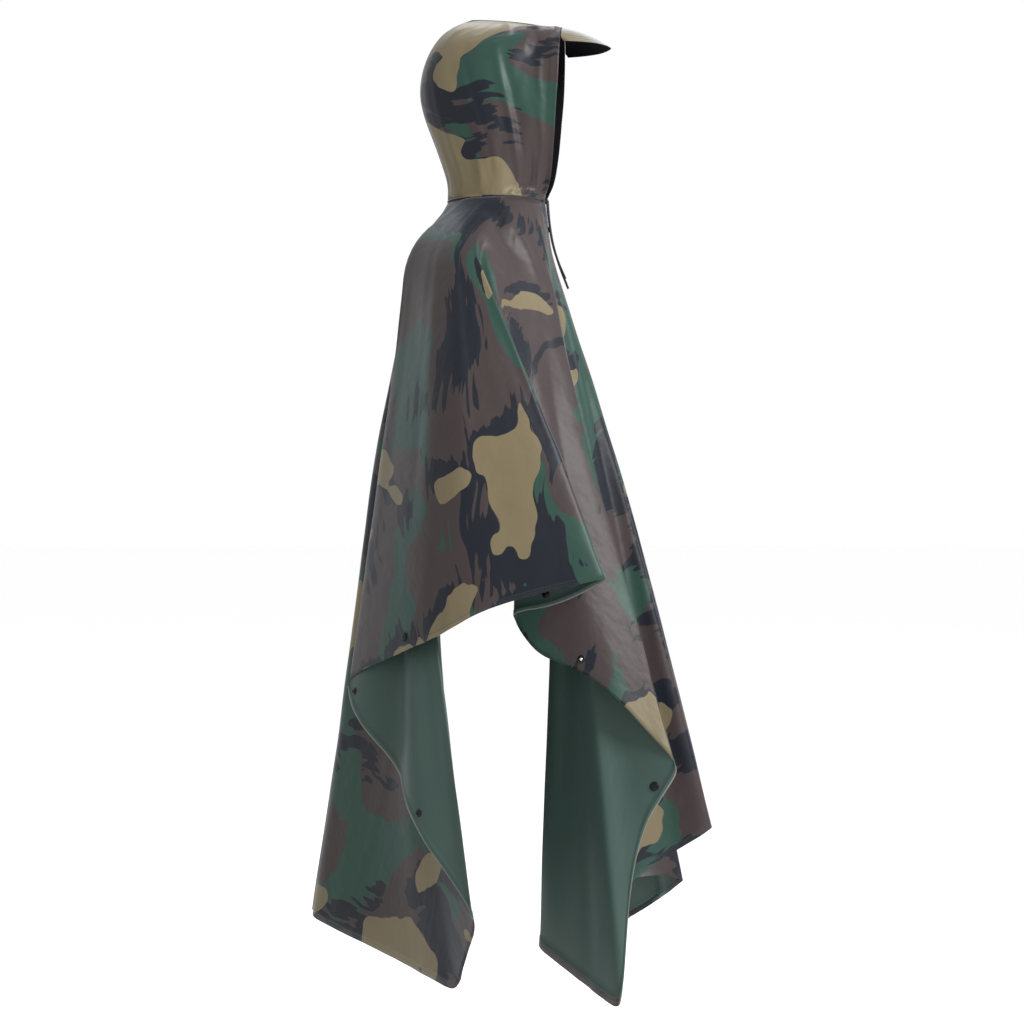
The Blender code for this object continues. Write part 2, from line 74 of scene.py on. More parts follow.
# The folds of the body panel, clockwise from the front as seen from above. cut: where the line
# meets the outer edge of the flat panel. over, mid, end: its way down. round: the share of each
# strip beside it that it is rounded over.
Fold = namedtuple("Fold", "name cut over mid end round")
FOLDS = tuple(Fold(*row) for row in (
    ("front_ridge", (CUT_FRONT, -0.10),
     (0.078, -0.015, -0.070), (0.180, -0.035, -0.375), (0.322, -0.060, -0.935), 0.22),
    ("front_pocket", (CUT_FRONT, -0.46),
     (0.079, -0.052, -0.076), (0.100, -0.100, -0.300), (0.075, -0.120, -1.095), 0.14),
    ("near_front_corner", (CUT_FRONT, -CUT_SIDE),
     (0.079, -0.063, -0.080), (0.139, -0.154, -0.596), (0.195, -0.290, -1.150), 0.10),
    ("front_flap", (0.85, -CUT_SIDE),
     (0.078, -0.070, -0.083), (0.150, -0.142, -0.489), (0.219, -0.240, -0.945), 0.45),
    ("front_flute", (0.662, -CUT_SIDE),
     (0.075, -0.080, -0.088), (0.147, -0.150, -0.370), (0.274, -0.232, -0.826), 0.14),
    ("chest_crease", (0.50, -CUT_SIDE),
     (0.052, -0.112, -0.090), (0.094, -0.178, -0.330), (0.167, -0.236, -0.712), 0.45),
    ("pocket_lip", (0.38, -CUT_SIDE),
     (0.020, -0.142, -0.088), (0.068, -0.195, -0.310), (0.078, -0.212, -0.670), 0.30),
    ("sleeve_pocket", (0.307, -CUT_SIDE),
     (-0.003, -0.160, -0.086), (0.050, -0.205, -0.276), (0.040, -0.198, -0.615), 0.16),
    ("sleeve_ridge", (0.155, -CUT_SIDE),
     (-0.020, -0.175, -0.083), (0.051, -0.245, -0.259), (0.178, -0.300, -0.561), 0.16),
    ("sleeve_mid", (0.00, -CUT_SIDE),
     (-0.038, -0.178, -0.083), (-0.002, -0.272, -0.310), (0.031, -0.312, -0.598), 0.50),
    ("sleeve_back", (-0.13, -CUT_SIDE),
     (-0.060, -0.170, -0.082), (-0.055, -0.264, -0.330), (-0.053, -0.292, -0.640), 0.50),
    ("sleeve_rear", (-0.28, -CUT_SIDE),
     (-0.090, -0.142, -0.080), (-0.108, -0.205, -0.340), (-0.124, -0.232, -0.673), 0.50),
    ("back_flute", (-0.41, -CUT_SIDE),
     (-0.125, -0.100, -0.076), (-0.143, -0.118, -0.306), (-0.206, -0.140, -0.729), 0.18),
    ("back_pocket", (-0.95, -CUT_SIDE),
     (-0.124, -0.080, -0.082), (-0.128, -0.112, -0.290), (0.000, -0.370, -1.017), 0.10),
    ("near_back_corner", (-CUT_BACK, -CUT_SIDE),
     (-0.123, -0.074, -0.084), (-0.120, -0.180, -0.600), (-0.029, -0.310, -1.126), 0.10),
    ("back_panel", (-CUT_BACK, -0.52),
     (-0.121, -0.060, -0.088), (-0.150, -0.120, -0.550), (-0.150, -0.195, -1.100), 0.50),
    ("back_ridge", (-CUT_BACK, -0.31),
     (-0.121, -0.042, -0.092), (-0.172, -0.062, -0.360), (-0.268, -0.090, -1.063), 0.30),
    ("back_valley", (-CUT_BACK, 0.00),
     (-0.120, 0.000, -0.095), (-0.135, 0.010, -0.400), (-0.150, 0.035, -1.030), 0.40),
    ("far_back_ridge", (-CUT_BACK, 0.33),
     (-0.118, 0.045, -0.092), (-0.160, 0.075, -0.380), (-0.250, 0.160, -1.045), 0.40),
    ("far_back_corner", (-CUT_BACK, CUT_SIDE),
     (-0.122, 0.076, -0.084), (-0.125, 0.170, -0.600), (-0.105, 0.325, -1.115), 0.10),
    ("far_back_pocket", (-0.85, CUT_SIDE),
     (-0.124, 0.084, -0.082), (-0.130, 0.118, -0.300), (-0.112, 0.285, -0.940), 0.14),
    ("far_back_flute", (-0.39, CUT_SIDE),
     (-0.124, 0.102, -0.076), (-0.142, 0.122, -0.310), (-0.205, 0.150, -0.722), 0.20),
    ("far_sleeve_rear", (-0.30, CUT_SIDE),
     (-0.088, 0.142, -0.080), (-0.106, 0.206, -0.345), (-0.125, 0.248, -0.668), 0.50),
    ("far_sleeve_back", (-0.12, CUT_SIDE),
     (-0.058, 0.170, -0.082), (-0.052, 0.262, -0.330), (-0.048, 0.292, -0.632), 0.50),
    ("far_sleeve_mid", (0.02, CUT_SIDE),
     (-0.036, 0.178, -0.083), (0.000, 0.268, -0.310), (0.040, 0.305, -0.592), 0.50),
    ("far_sleeve_ridge", (0.17, CUT_SIDE),
     (-0.015, 0.174, -0.083), (0.050, 0.238, -0.265), (0.160, 0.292, -0.560), 0.20),
    ("far_sleeve_pocket", (0.38, CUT_SIDE),
     (0.010, 0.150, -0.088), (0.058, 0.195, -0.300), (0.072, 0.225, -0.690), 0.16),
    ("far_front_flute", (0.88, CUT_SIDE),
     (0.064, 0.094, -0.092), (0.128, 0.178, -0.480), (0.222, 0.305, -1.000), 0.35),
    ("far_front_corner", (CUT_FRONT, CUT_SIDE),
     (0.071, 0.082, -0.088), (0.140, 0.185, -0.600), (0.180, 0.325, -1.150), 0.10),
    ("far_front_ridge", (CUT_FRONT, 0.45),
     (0.078, 0.058, -0.080), (0.150, 0.100, -0.420), (0.275, 0.200, -1.060), 0.22),
    ("front_valley", (CUT_FRONT, 0.17),
     (0.079, 0.022, -0.070), (0.108, 0.030, -0.400), (0.125, 0.060, -1.020), 0.35),
))

# The hood in level sections: z and x at the back seam and at the face edge, then the half widths
# in the middle and at the face edge
HoodRing = namedtuple("HoodRing", "back_z back_x face_z face_x half_width face_half")
HOOD = tuple(HoodRing(*row) for row in (
    (0.000, -0.0755, 0.000, 0.0720, 0.0705, 0.010),
    (0.030, -0.0765, 0.030, 0.0825, 0.0730, 0.034),
    (0.080, -0.0925, 0.080, 0.0890, 0.0800, 0.057),
    (0.133, -0.1120, 0.133, 0.0930, 0.0860, 0.068),
    (0.171, -0.1180, 0.171, 0.0960, 0.0880, 0.072),
    (0.210, -0.1110, 0.206, 0.0975, 0.0840, 0.070),
    (0.243, -0.0930, 0.234, 0.0985, 0.0690, 0.059),
    (0.265, -0.0680, 0.252, 0.0990, 0.0430, 0.038),
    (0.276, -0.0400, 0.259, 0.0990, 0.0000, 0.000),
))
CROWN_RISE = 0.006
NECK_HUG = 0.06  # the share of the height over which the throat keeps to the neck hole

PEAK_LENGTH = 0.072
PEAK_GAP = 0.0006
# Where the peak springs from the face edge, higher than the solid's does, and its edge's level
PEAK_TEMPLE_LEVEL = 0.76
PEAK_EDGE_LEVEL = 0.231
PEAK_SPREAD = 0.5

# -------- sizes of the fine pieces

CLOTH = 0.0009
HEM_WIDTH = 0.008
HEM_LIFT = 0.0007
PANEL_ROWS = 54
COLUMN_SPACING = 0.0151
FOLD_FOCUS = 1.6
HOOD_SIDE = 112
PEAK_THICK = 0.0022
PEAK_SIDE = 72
CHANNEL_PAD = 0.0006
CHANNEL_WIDTH = 0.014

# Creases of the body panel in the flat cut. depth is negative for a trough, width is about its
# half width at half height, and bow moves its middle sideways.
Crease = namedtuple("Crease", "name start end bow width depth")
CREASES = tuple(Crease(*row) for row in (
    ("near_sleeve_edge", (0.032, -0.185), (0.150, -0.690), 0.004, 0.0055, 0.0075),
    ("near_sleeve_shadow", (0.056, -0.185), (0.140, -0.520), 0.006, 0.0150, -0.0220),
    ("near_sleeve_lip", (0.088, -0.200), (0.170, -0.440), -0.004, 0.0120, 0.0050),
    ("near_chest", (0.000, -0.078), (0.135, -0.176), 0.004, 0.0040, 0.0050),
    ("near_chest_shadow", (-0.008, -0.098), (0.120, -0.184), 0.004, 0.0070, -0.0060),
    ("near_chest_long", (0.120, -0.150), (0.310, -0.290), 0.012, 0.0120, 0.0035),
    ("near_chest_low", (0.200, -0.260), (0.420, -0.560), -0.010, 0.0200, -0.0045),
    ("near_back_long", (-0.170, -0.160), (-0.330, -0.640), 0.020, 0.0300, 0.0045),
    ("near_back_trough", (-0.110, -0.200), (-0.200, -0.600), 0.015, 0.0260, -0.0040),
    ("near_sleeve_soft", (-0.020, -0.240), (-0.020, -0.660), -0.012, 0.0300, 0.0035),
    ("near_sleeve_pack", (-0.210, -0.470), (0.135, -0.452), 0.004, 0.0030, 0.0012),
    ("near_back_pack", (-0.560, -0.400), (-1.060, -0.420), 0.006, 0.0035, 0.0014),
    ("near_back_cross", (-0.800, -0.700), (-0.820, -0.240), 0.004, 0.0030, 0.0012),
    ("front_inner_one", (0.300, -0.175), (1.000, -0.560), 0.010, 0.0300, 0.0060),
    ("front_inner_two", (0.360, -0.185), (1.020, -0.500), -0.006, 0.0220, -0.0050),
    ("front_inner_low", (0.700, -0.440), (1.030, -0.640), 0.006, 0.0160, 0.0045),
    ("back_inner_one", (-0.350, -0.330), (-0.640, -0.700), 0.006, 0.0260, 0.0050),
    ("back_inner_two", (-0.420, -0.330), (-0.820, -0.690), 0.006, 0.0220, -0.0045),
    ("back_panel_one", (-0.380, -0.220), (-1.060, -0.600), 0.010, 0.0260, 0.0050),
    ("back_panel_two", (-0.560, -0.330), (-0.980, -0.640), 0.020, 0.0160, -0.0035),
    ("far_sleeve_edge", (0.046, 0.200), (0.160, 0.680), -0.004, 0.0055, 0.0045),
    ("far_sleeve_shadow", (0.072, 0.215), (0.190, 0.560), -0.006, 0.0130, -0.0110),
    ("far_chest", (0.012, 0.084), (0.160, 0.180), -0.004, 0.0045, 0.0045),
    ("far_chest_shadow", (0.002, 0.100), (0.140, 0.196), -0.004, 0.0070, -0.0050),
    ("far_chest_long", (0.130, 0.160), (0.380, 0.330), -0.012, 0.0130, 0.0040),
    ("far_back_long", (-0.180, 0.170), (-0.360, 0.600), -0.016, 0.0280, 0.0050),
    ("far_sleeve_soft", (-0.060, 0.230), (-0.090, 0.660), 0.014, 0.0280, 0.0040),
    ("far_sleeve_pack", (-0.220, 0.440), (0.140, 0.470), -0.004, 0.0030, 0.0012),
    ("back_pack", (-0.160, 0.020), (-1.060, 0.030), 0.004, 0.0030, 0.0012),
    ("front_pack", (0.160, 0.120), (1.000, 0.135), 0.004, 0.0030, 0.0012),
))

# How far a strip's hem hangs lower in its middle, by the fold before the strip
SAGS = {"sleeve_pocket": 0.011, "far_sleeve_ridge": 0.008}

# Folds that fan down hidden strips of the panel: the strip's fold, whole waves across it, height
# as a share of a wave's width
Fan = namedtuple("Fan", "strip waves share")
FANS = tuple(Fan(*row) for row in (
    ("front_valley", 3, 0.17),
    ("far_front_ridge", 2, 0.17),
    ("far_front_corner", 2, 0.19),
    ("far_sleeve_pocket", 4, 0.19),
    ("far_back_pocket", 4, 0.20),
    ("far_back_ridge", 4, 0.20),
    ("back_valley", 3, 0.20),
    ("back_ridge", 3, 0.18),
    ("front_ridge", 2, 0.07),
    ("back_flute", 2, 0.05),
))

# Creases of a hood half: shares across, from the back seam to the face, and shares of the height up
HOOD_CREASES = tuple(Crease(*row) for row in (
    ("crown_fold", (0.56, 0.93), (0.70, 0.74), 0.02, 0.016, -0.0026),
    ("temple_low", (0.90, 0.66), (0.93, 0.34), -0.02, 0.014, 0.0018),
    ("cheek_gather_one", (0.78, 0.24), (0.74, 0.01), 0.01, 0.012, 0.0022),
    ("cheek_gather_two", (0.85, 0.22), (0.83, 0.01), 0.01, 0.010, -0.0020),
    ("cheek_gather_three", (0.90, 0.20), (0.90, 0.01), 0.00, 0.009, 0.0020),
    ("behind_ear", (0.46, 0.62), (0.58, 0.10), 0.03, 0.020, -0.0022),
    ("temple", (0.80, 0.86), (0.86, 0.60), 0.03, 0.030, -0.0030),
    ("temple_ridge", (0.72, 0.90), (0.80, 0.62), 0.03, 0.035, 0.0025),
    ("cheek_long", (0.62, 0.70), (0.76, 0.06), 0.03, 0.022, 0.0028),
    ("cheek_long_dark", (0.66, 0.66), (0.80, 0.10), 0.03, 0.022, -0.0022),
    ("jaw", (0.88, 0.42), (0.92, 0.12), 0.02, 0.020, 0.0020),
    ("nape", (0.30, 0.30), (0.36, 0.02), 0.00, 0.030, 0.0018),
    ("nape_two", (0.48, 0.26), (0.50, 0.02), 0.00, 0.025, 0.0018),
))
FAN_HEIGHT = 0.0030
RUMPLE_HEIGHT = 0.0008
HOOD_RUMPLE = 0.0016
HOOD_RUMPLE_FINE = 0.0007
NECK_GATHER = 0.0013
FACE_RUFFLE = 0.0012
FAN_DEPTH = 1.05
HEM_PUCKER = 0.0012
SOFTEN_ROUNDS = 6

HOOD_PRINT = (3.0, 2.0)
PEAK_PRINT = (3.4, 2.6)
PEAK_STITCH_LINES = (0.006, 0.012)
THROAT_STUD = (0.50, 0.042)
BODY_SEED = 7.7
HOOD_SEED = 3.7
PEAK_SEED = 9.0

# -------- camera and stage

CAMERA_AZIMUTH = 5.0
CAMERA_DISTANCE = 3.2
CAMERA_TARGET = (0.0212, 0.0019, -0.470)
CAMERA_FIELD = 2 * math.atan(0.77824 / 3.2)
FLOOR_LEVEL = -1.50
FLOOR_HALF = 60.0
WORLD_STRENGTH = 1.0
# name, place, what it points at, diameter, power
LIGHTS = (
    ("key_front", (2.7, -2.0, 1.5), (0.0, 0.0, -0.25), 1.3, 230.0),
    ("edge_above", (-0.6, 1.8, 3.0), (0.0, 0.0, 0.1), 1.4, 40.0),
)


# -------- the drape of the body panel


def bent(start, corner, stop, t):
    return start * (1 - t) ** 2 + corner * 2 * t * (1 - t) + stop * t ** 2


def eased(p0, p1, p2, p3, t):
    """The value between p1 and p2 of a smooth curve through all four."""
    linear = 2 * p1 + (p2 - p0) * t
    curved = (2 * p0 - 5 * p1 + 4 * p2 - p3) * t * t + (3 * p1 - p0 - 3 * p2 + p3) * t ** 3
    return 0.5 * (linear + curved)


def unit(vectors):
    return vectors / np.linalg.norm(vectors, axis=-1, keepdims=True)


def run_lengths(points, axis=0):
    """Lengths along a line, or along a grid from its first row or column."""
    steps = np.linalg.norm(np.diff(points, axis=axis), axis=-1)
    zero = np.zeros_like(np.take(steps, [0], axis=axis))
    return np.concatenate([zero, np.cumsum(steps, axis=axis)], axis=axis)


def rounded_line(points, rounds):
    """Short straight runs through points, each inner corner rounded off over the length in rounds."""
    line = [points[0]]
    for before, corner, after, reach in zip(points, points[1:], points[2:], rounds):
        back = min(reach, 0.45 * np.linalg.norm(corner - before))
        ahead = min(reach, 0.45 * np.linalg.norm(after - corner))
        enter = corner + unit(before - corner) * back
        leave = corner + unit(after - corner) * ahead
        line.extend(bent(enter, corner, leave, t) for t in np.linspace(0.0, 1.0, 25))
    line.append(points[-1])
    return np.array(line)


def along(line, shares):
    """The points at these shares of a line's length."""
    lengths = run_lengths(line)
    wanted = np.asarray(shares) * lengths[-1]
    return np.stack([np.interp(wanted, lengths, line[:, axis]) for axis in range(3)], axis=-1)


def neck_point(cut):
    """Where a fold leaves the neck hole."""
    heading = np.array(cut) / math.hypot(*cut)
    reach = NECK_FRONT if heading[0] > 0 else NECK_BACK
    return np.array([reach * heading[0], NECK_Y * heading[1], -SEAM_GAP])


def fold_line(fold):
    corners = [neck_point(fold.cut), np.array(fold.over), np.array(fold.mid), np.array(fold.end)]
    return rounded_line(corners, (SHOULDER_ROUND, BOW_ROUND))


def fold_rings(downs):
    """The corners, at each share down, whose rounded folds pass through the lines of the table."""
    wanted = np.stack([along(fold_line(fold), downs) for fold in FOLDS], axis=1)
    rounds = np.array([fold.round for fold in FOLDS])[None, :, None]
    corners = wanted.copy()
    for _ in range(12):
        pull = np.roll(corners, 1, axis=1) + np.roll(corners, -1, axis=1)
        corners = (wanted - 0.25 * rounds * pull) / (1 - 0.5 * rounds)
    return corners


def draped(rings, number, share):
    """Points of the panel, one for each ring: a share across the strip after a fold."""
    count = len(FOLDS)
    before, here = rings[:, number - 1], rings[:, number]
    after, beyond = rings[:, (number + 1) % count], rings[:, (number + 2) % count]
    enter = FOLDS[number].round
    leave = FOLDS[(number + 1) % count].round
    if share < enter:
        start, stop = here + (before - here) * enter, here + (after - here) * enter
        return bent(start, here, stop, 0.5 + 0.5 * share / enter)
    if share > 1.0 - leave:
        start, stop = after + (here - after) * leave, after + (beyond - after) * leave
        return bent(start, after, stop, 0.5 * (share - 1.0 + leave) / leave)
    return here + (after - here) * share


def strip_ends(number):
    """The two ends, on the outer edge of the flat cut, of the strip after a fold."""
    return np.array(FOLDS[number].cut), np.array(FOLDS[(number + 1) % len(FOLDS)].cut)


def flat_places(number, share, downs):
    """The flat places, one for each share of the way down, of a column of the panel."""
    here, after = strip_ends(number)
    edge = here + (after - here) * share
    neck = neck_point(edge)[:2]
    return neck + (edge - neck) * np.asarray(downs)[:, None]


def strip_shares(number):
    """Shares across a strip, closer together on its rounded folds."""
    here, after = strip_ends(number)
    leave = FOLDS[(number + 1) % len(FOLDS)].round
    fine = np.linspace(0.0, 1.0, 801)
    rounded = (fine < FOLDS[number].round) | (fine > 1.0 - leave)
    reach = np.concatenate([[0.0], np.cumsum(1.0 + FOLD_FOCUS * rounded[1:])])
    width = np.linalg.norm(after - here)
    count = max(6, round(width * reach[-1] / reach.size / COLUMN_SPACING))
    return np.interp(np.arange(count) / count * reach[-1], reach, fine)


def panel_columns():
    return [(number, share) for number in range(len(FOLDS)) for share in strip_shares(number)]


def panel_downs():
    """Shares of the way down, with two rows more at the hem's inner edge."""
    depth = CUT_SIDE - NECK_Y
    plain = np.linspace(0.0, 1.0, PANEL_ROWS) ** 1.12
    hem = 1.0 - np.array([HEM_WIDTH + 0.0006, HEM_WIDTH - 0.0006]) / depth
    return np.sort(np.concatenate([plain[plain < hem[0] - 0.004], hem, [1.0]]))


def grid_normals(points, closed):
    """Unit normals of a grid of points, rows by columns, joined round when closed."""
    if closed:
        across = np.roll(points, -1, axis=1) - np.roll(points, 1, axis=1)
    else:
        across = np.gradient(points, axis=1)
    normals = np.cross(across, np.gradient(points, axis=0))
    return normals / np.maximum(np.linalg.norm(normals, axis=2, keepdims=True), 1e-12)


def value_noise(places, seed):
    """Smooth random heights from -1 to 1 at places, features about 1 apart."""
    lattice = np.random.default_rng(seed).uniform(-1.0, 1.0, (64, 64))
    at = places + 32.0
    low = np.floor(at).astype(int)
    t = at - low
    t = t * t * (3 - 2 * t)
    x, y = low[..., 0] % 64, low[..., 1] % 64
    x1, y1 = (x + 1) % 64, (y + 1) % 64
    upper = lattice[x, y] * (1 - t[..., 0]) + lattice[x1, y] * t[..., 0]
    lower = lattice[x, y1] * (1 - t[..., 0]) + lattice[x1, y1] * t[..., 0]
    return upper * (1 - t[..., 1]) + lower * t[..., 1]


def crease_height(places, crease):
    """The height of one crease at flat places: a soft ridge or trough that fades to its ends."""
    start, end = np.array(crease.start), np.array(crease.end)
    run = end - start
    length = np.linalg.norm(run)
    run = run / length
    side = np.array([-run[1], run[0]])
    share = np.clip((places - start) @ run / length, 0.0, 1.0)
    middle = start + share[..., None] * run * length
    off = (places - middle) - (crease.bow * np.sin(math.pi * share))[..., None] * side
    distance = np.linalg.norm(off, axis=-1) / crease.width
    return crease.depth * np.sin(math.pi * share) ** 0.6 * np.exp(-0.7 * distance ** 1.6)


def panel_heights(places):
    """How far the body's cloth stands out from its plain drape, at flat places."""
    heights = sum(crease_height(places, crease) for crease in CREASES)
    x, y = places[..., 0], places[..., 1]
    radius = np.linalg.norm(places, axis=-1)
    turn = np.arctan2(y, x)
    # folds that fan out from the neck: noise that is short round the neck and long away from it
    fan = np.stack([turn * 7.0, radius * 2.2], axis=-1)
    finer = np.stack([turn * 17.0, radius * 4.0], axis=-1)
    fade = np.clip((radius - 0.08) / 0.25, 0.0, 1.0)
    heights += fade * FAN_HEIGHT * value_noise(fan, 11)
    heights += fade * 0.4 * FAN_HEIGHT * value_noise(finer, 12)
    heights += RUMPLE_HEIGHT * value_noise(places * 14.0, 13)
    side = CUT_SIDE - np.abs(y)
    edge = np.minimum(side, np.where(x > 0, CUT_FRONT, CUT_BACK) - np.abs(x))
    round_edge = np.where(side < 0.03, x, y)
    pucker = np.stack([round_edge * 38.0, edge * 10.0], axis=-1)
    return heights + HEM_PUCKER * np.exp(-edge / 0.02) * value_noise(pucker, 14)


def body_surface():
    """Points, flat places and normals of the body's middle surface, rows down by columns round."""
    downs = panel_downs()
    rings = fold_rings(downs)
    columns = panel_columns()
    points = np.stack([draped(rings, number, share) for number, share in columns], axis=1)
    places = np.stack([flat_places(number, share, downs) for number, share in columns], axis=1)
    for _ in range(SOFTEN_ROUNDS):
        round_about = 0.5 * (np.roll(points, 1, axis=1) + np.roll(points, -1, axis=1))
        points[1:] += 0.5 * (round_about - points)[1:]
    points[:, :, 2] -= hem_sag(columns, downs)
    heights = panel_heights(places) + fan_heights(points, columns, downs)
    points += grid_normals(points, True) * heights[..., None] * rise_from_neck(downs)
    return points, places, grid_normals(points, True), downs


def hem_sag(columns, downs):
    """How far the hem hangs lower in the middle of a strip than its folds do."""
    depths = [SAGS.get(FOLDS[number].name, 0.0) * math.sin(math.pi * share)
              for number, share in columns]
    return (downs ** 3)[:, None] * np.array(depths)[None, :]


def fan_heights(points, columns, downs):
    """Folds that fan down a strip: whole waves across it, as high as their width allows."""
    heights = np.zeros(points.shape[:2])
    strips = np.array([number for number, _ in columns])
    shares = np.array([share for _, share in columns])
    names = [fold.name for fold in FOLDS]
    for fan in FANS:
        here = strips == names.index(fan.strip)
        first, last = np.flatnonzero(here)[[0, -1]]
        width = np.linalg.norm(points[:, (last + 1) % len(columns)] - points[:, first], axis=1)
        across = shares[here]
        turn, down = np.meshgrid(across * fan.waves, downs)
        field = np.stack([turn, down * 1.6], axis=-1)
        uneven = turn + 0.34 * value_noise(field, 40 + fan.waves + first)
        depth = FAN_DEPTH + 0.45 * value_noise((field + 9.0) * 1.3, 50 + first)
        starts = 0.14 + 0.12 * value_noise(field * [1.0, 0.0], 60 + first)
        grow = np.clip((down - starts) / 0.3, 0.0, 1.0) ** 1.3
        wave = np.sin(2 * math.pi * (uneven + 0.25)) * np.sin(math.pi * across)[None, :] ** 0.5
        heights[:, here] = fan.share * width[:, None] / fan.waves * grow * depth * wave
    return heights


def rise_from_neck(downs):
    """Nothing stands out at the neck seam itself."""
    return np.clip(downs / 0.012, 0.0, 1.0)[:, None, None]


# -------- meshes


def declare(piece, node):
    """Hides the solid that the piece stands for, if any, and makes the piece ride on the one body."""
    if node:
        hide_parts(node)
    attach(piece, "root")


def linked(name, data):
    obj = bpy.data.objects.new(name, data)
    bpy.context.scene.collection.objects.link(obj)
    return obj


def mesh_object(name, points, faces, face_slots, materials, places=None):
    """A smooth mesh object. places, one pair for each point, become the UV map "cut", in metres."""
    mesh = bpy.data.meshes.new(name)
    mesh.from_pydata(points.tolist(), [], faces)
    mesh.polygons.foreach_set("material_index", face_slots)
    mesh.polygons.foreach_set("use_smooth", [True] * len(faces))
    if places is not None:
        corners = np.empty(len(mesh.loops), np.int64)
        mesh.loops.foreach_get("vertex_index", corners)
        layer = mesh.uv_layers.new(name="cut")
        layer.data.foreach_set("uv", places[corners].astype(np.float32).ravel())
    for made in materials:
        mesh.materials.append(made)
    mesh.update()
    return linked(name, mesh)


def shell(name, middle, normals, places, materials, outside=CLOTH / 2, inside=CLOTH / 2,
          closed=False, turned=False):
    """A closed thin shell on a grid of points: slot 0 outside, slot 1 inside, slot 2 round the edges.

    outside and inside are distances from the middle surface, one number or one for each point.
    turned reverses the faces, for a grid whose normals were turned round."""
    rows, columns = middle.shape[:2]
    outer = middle + normals * np.broadcast_to(outside, (rows, columns))[..., None]
    inner = middle - normals * np.broadcast_to(inside, (rows, columns))[..., None]
    points = np.concatenate([outer.reshape(-1, 3), inner.reshape(-1, 3)])
    index = np.arange(rows * columns).reshape(rows, columns)
    if closed:
        index = np.concatenate([index, index[:, :1]], axis=1)
    quads = np.stack([index[:-1, :-1], index[:-1, 1:], index[1:, 1:], index[1:, :-1]], axis=-1)
    quads = quads.reshape(-1, 4)
    below = rows * columns
    rims = [edge_quads(index[0], below), edge_quads(index[-1][::-1], below)]
    if not closed:
        rims += [edge_quads(index[:, 0][::-1], below), edge_quads(index[:, -1], below)]
    rims = np.concatenate(rims)
    faces = np.concatenate([quads, quads[:, ::-1] + below, rims])
    if turned:
        faces = faces[:, ::-1]
    slots = np.concatenate([np.zeros(len(quads)), np.ones(len(quads)), np.full(len(rims), 2)]).astype(int)
    flat = np.concatenate([places.reshape(-1, 2)] * 2)
    return mesh_object(name, points, faces.tolist(), slots, materials, flat)


def edge_quads(edge, below):
    """Faces that join an edge of the outer layer to the same edge of the inner one."""
    return np.stack([edge[:-1], edge[:-1] + below, edge[1:] + below, edge[1:]], axis=-1)


# -------- hood and peak


def smooth_row(rows, share):
    """The table's values at a share of its height, eased between rows."""
    place = share * (len(rows) - 1)
    low = min(int(place), len(rows) - 2)
    t = place - low
    before = rows[max(low - 1, 0)]
    after = rows[min(low + 2, len(rows) - 1)]
    return HoodRing(*(eased(*four, t) for four in zip(before, rows[low], rows[low + 1], after)))


def hood_point(side, across, up):
    """across runs from the back seam, 0, to the face edge, 1; up from the neck, 0, to the crown, 1."""
    ring = smooth_row(HOOD, up)
    middle = 0.5 * (ring.back_x + ring.face_x)
    turn = across * math.radians(150)
    if turn > math.pi / 2:
        fall = (turn - math.pi / 2) / math.radians(60)
        y = ring.half_width + (ring.face_half - ring.half_width) * (3 * fall ** 2 - 2 * fall ** 3)
        wide, narrow = ring.half_width ** 2, ring.face_half ** 2
        round_y = math.sqrt(max(wide - (wide - narrow) * fall ** 2, 0.0))
        y += (round_y - y) * math.exp(-((up / NECK_HUG) ** 2))
        x = middle + (ring.face_x - middle) * fall
    else:
        y = ring.half_width * math.sin(turn) ** 0.9
        x = middle + (ring.back_x - middle) * math.cos(turn)
    z = ring.back_z + (ring.face_z - ring.back_z) * across
    z += CROWN_RISE * up ** 4 * math.sin(math.pi * across)
    return np.array([x, side * (max(y, 0.0) + SEAM_GAP / 2 + CAD_WALL / 2), z + CAD_WALL / 2 + SEAM_GAP])


def hood_heights(side, acrosses, ups):
    """How far the hood's cloth stands out: its creases, the gathers at the neck and along the face."""
    across, up = np.meshgrid(acrosses, ups)
    places = np.stack([across, up], axis=-1)
    heights = sum(crease_height(places, crease) for crease in HOOD_CREASES)
    heights += HOOD_RUMPLE * value_noise(places * [7.0, 3.0], 21 + side)
    heights += HOOD_RUMPLE_FINE * value_noise(places * [20.0, 9.0], 23 + side)
    gather = value_noise(places * [46.0, 5.0], 25 + side)
    heights += NECK_GATHER * gather * np.exp(-up / 0.10) * (0.25 + 0.75 * across)
    ruffle = value_noise(places * [5.0, 40.0], 27 + side)
    by_face = np.exp(-(1 - across) / 0.09) * np.clip(1.2 - 1.4 * up, 0.15, 1.0)
    heights += FACE_RUFFLE * ruffle * by_face
    still = np.clip(up / 0.02, 0, 1) * np.clip(across / 0.03, 0, 1) * np.clip((1 - up) / 0.03, 0, 1)
    return heights * still


def add_hood(name, side, materials):
    acrosses = np.linspace(0.0, 1.0, HOOD_SIDE)
    ups = np.linspace(0.0, 1.0, HOOD_SIDE)
    points = np.array([[hood_point(side, across, up) for across in acrosses] for up in ups])
    normals = grid_normals(points, False) * -side
    points = points + normals * hood_heights(side, acrosses, ups)[..., None]
    normals = grid_normals(points, False) * -side
    width = run_lengths(points, 1)
    height = run_lengths(points, 0)
    to_face = width[:, -1:] - width
    channel = 1.0 / (1.0 + np.exp((to_face - CHANNEL_WIDTH) / 0.0006))
    groove = np.exp(-(((to_face - CHANNEL_WIDTH) / 0.0012) ** 2))
    outside = CLOTH / 2 + CHANNEL_PAD * channel - 0.0003 * groove
    places = np.stack([HOOD_PRINT[0] + height, HOOD_PRINT[1] + side * width], axis=-1)
    inside = CLOTH / 2 + CHANNEL_PAD * channel
    return shell(name, points, normals, places, materials, outside, inside, turned=side > 0)


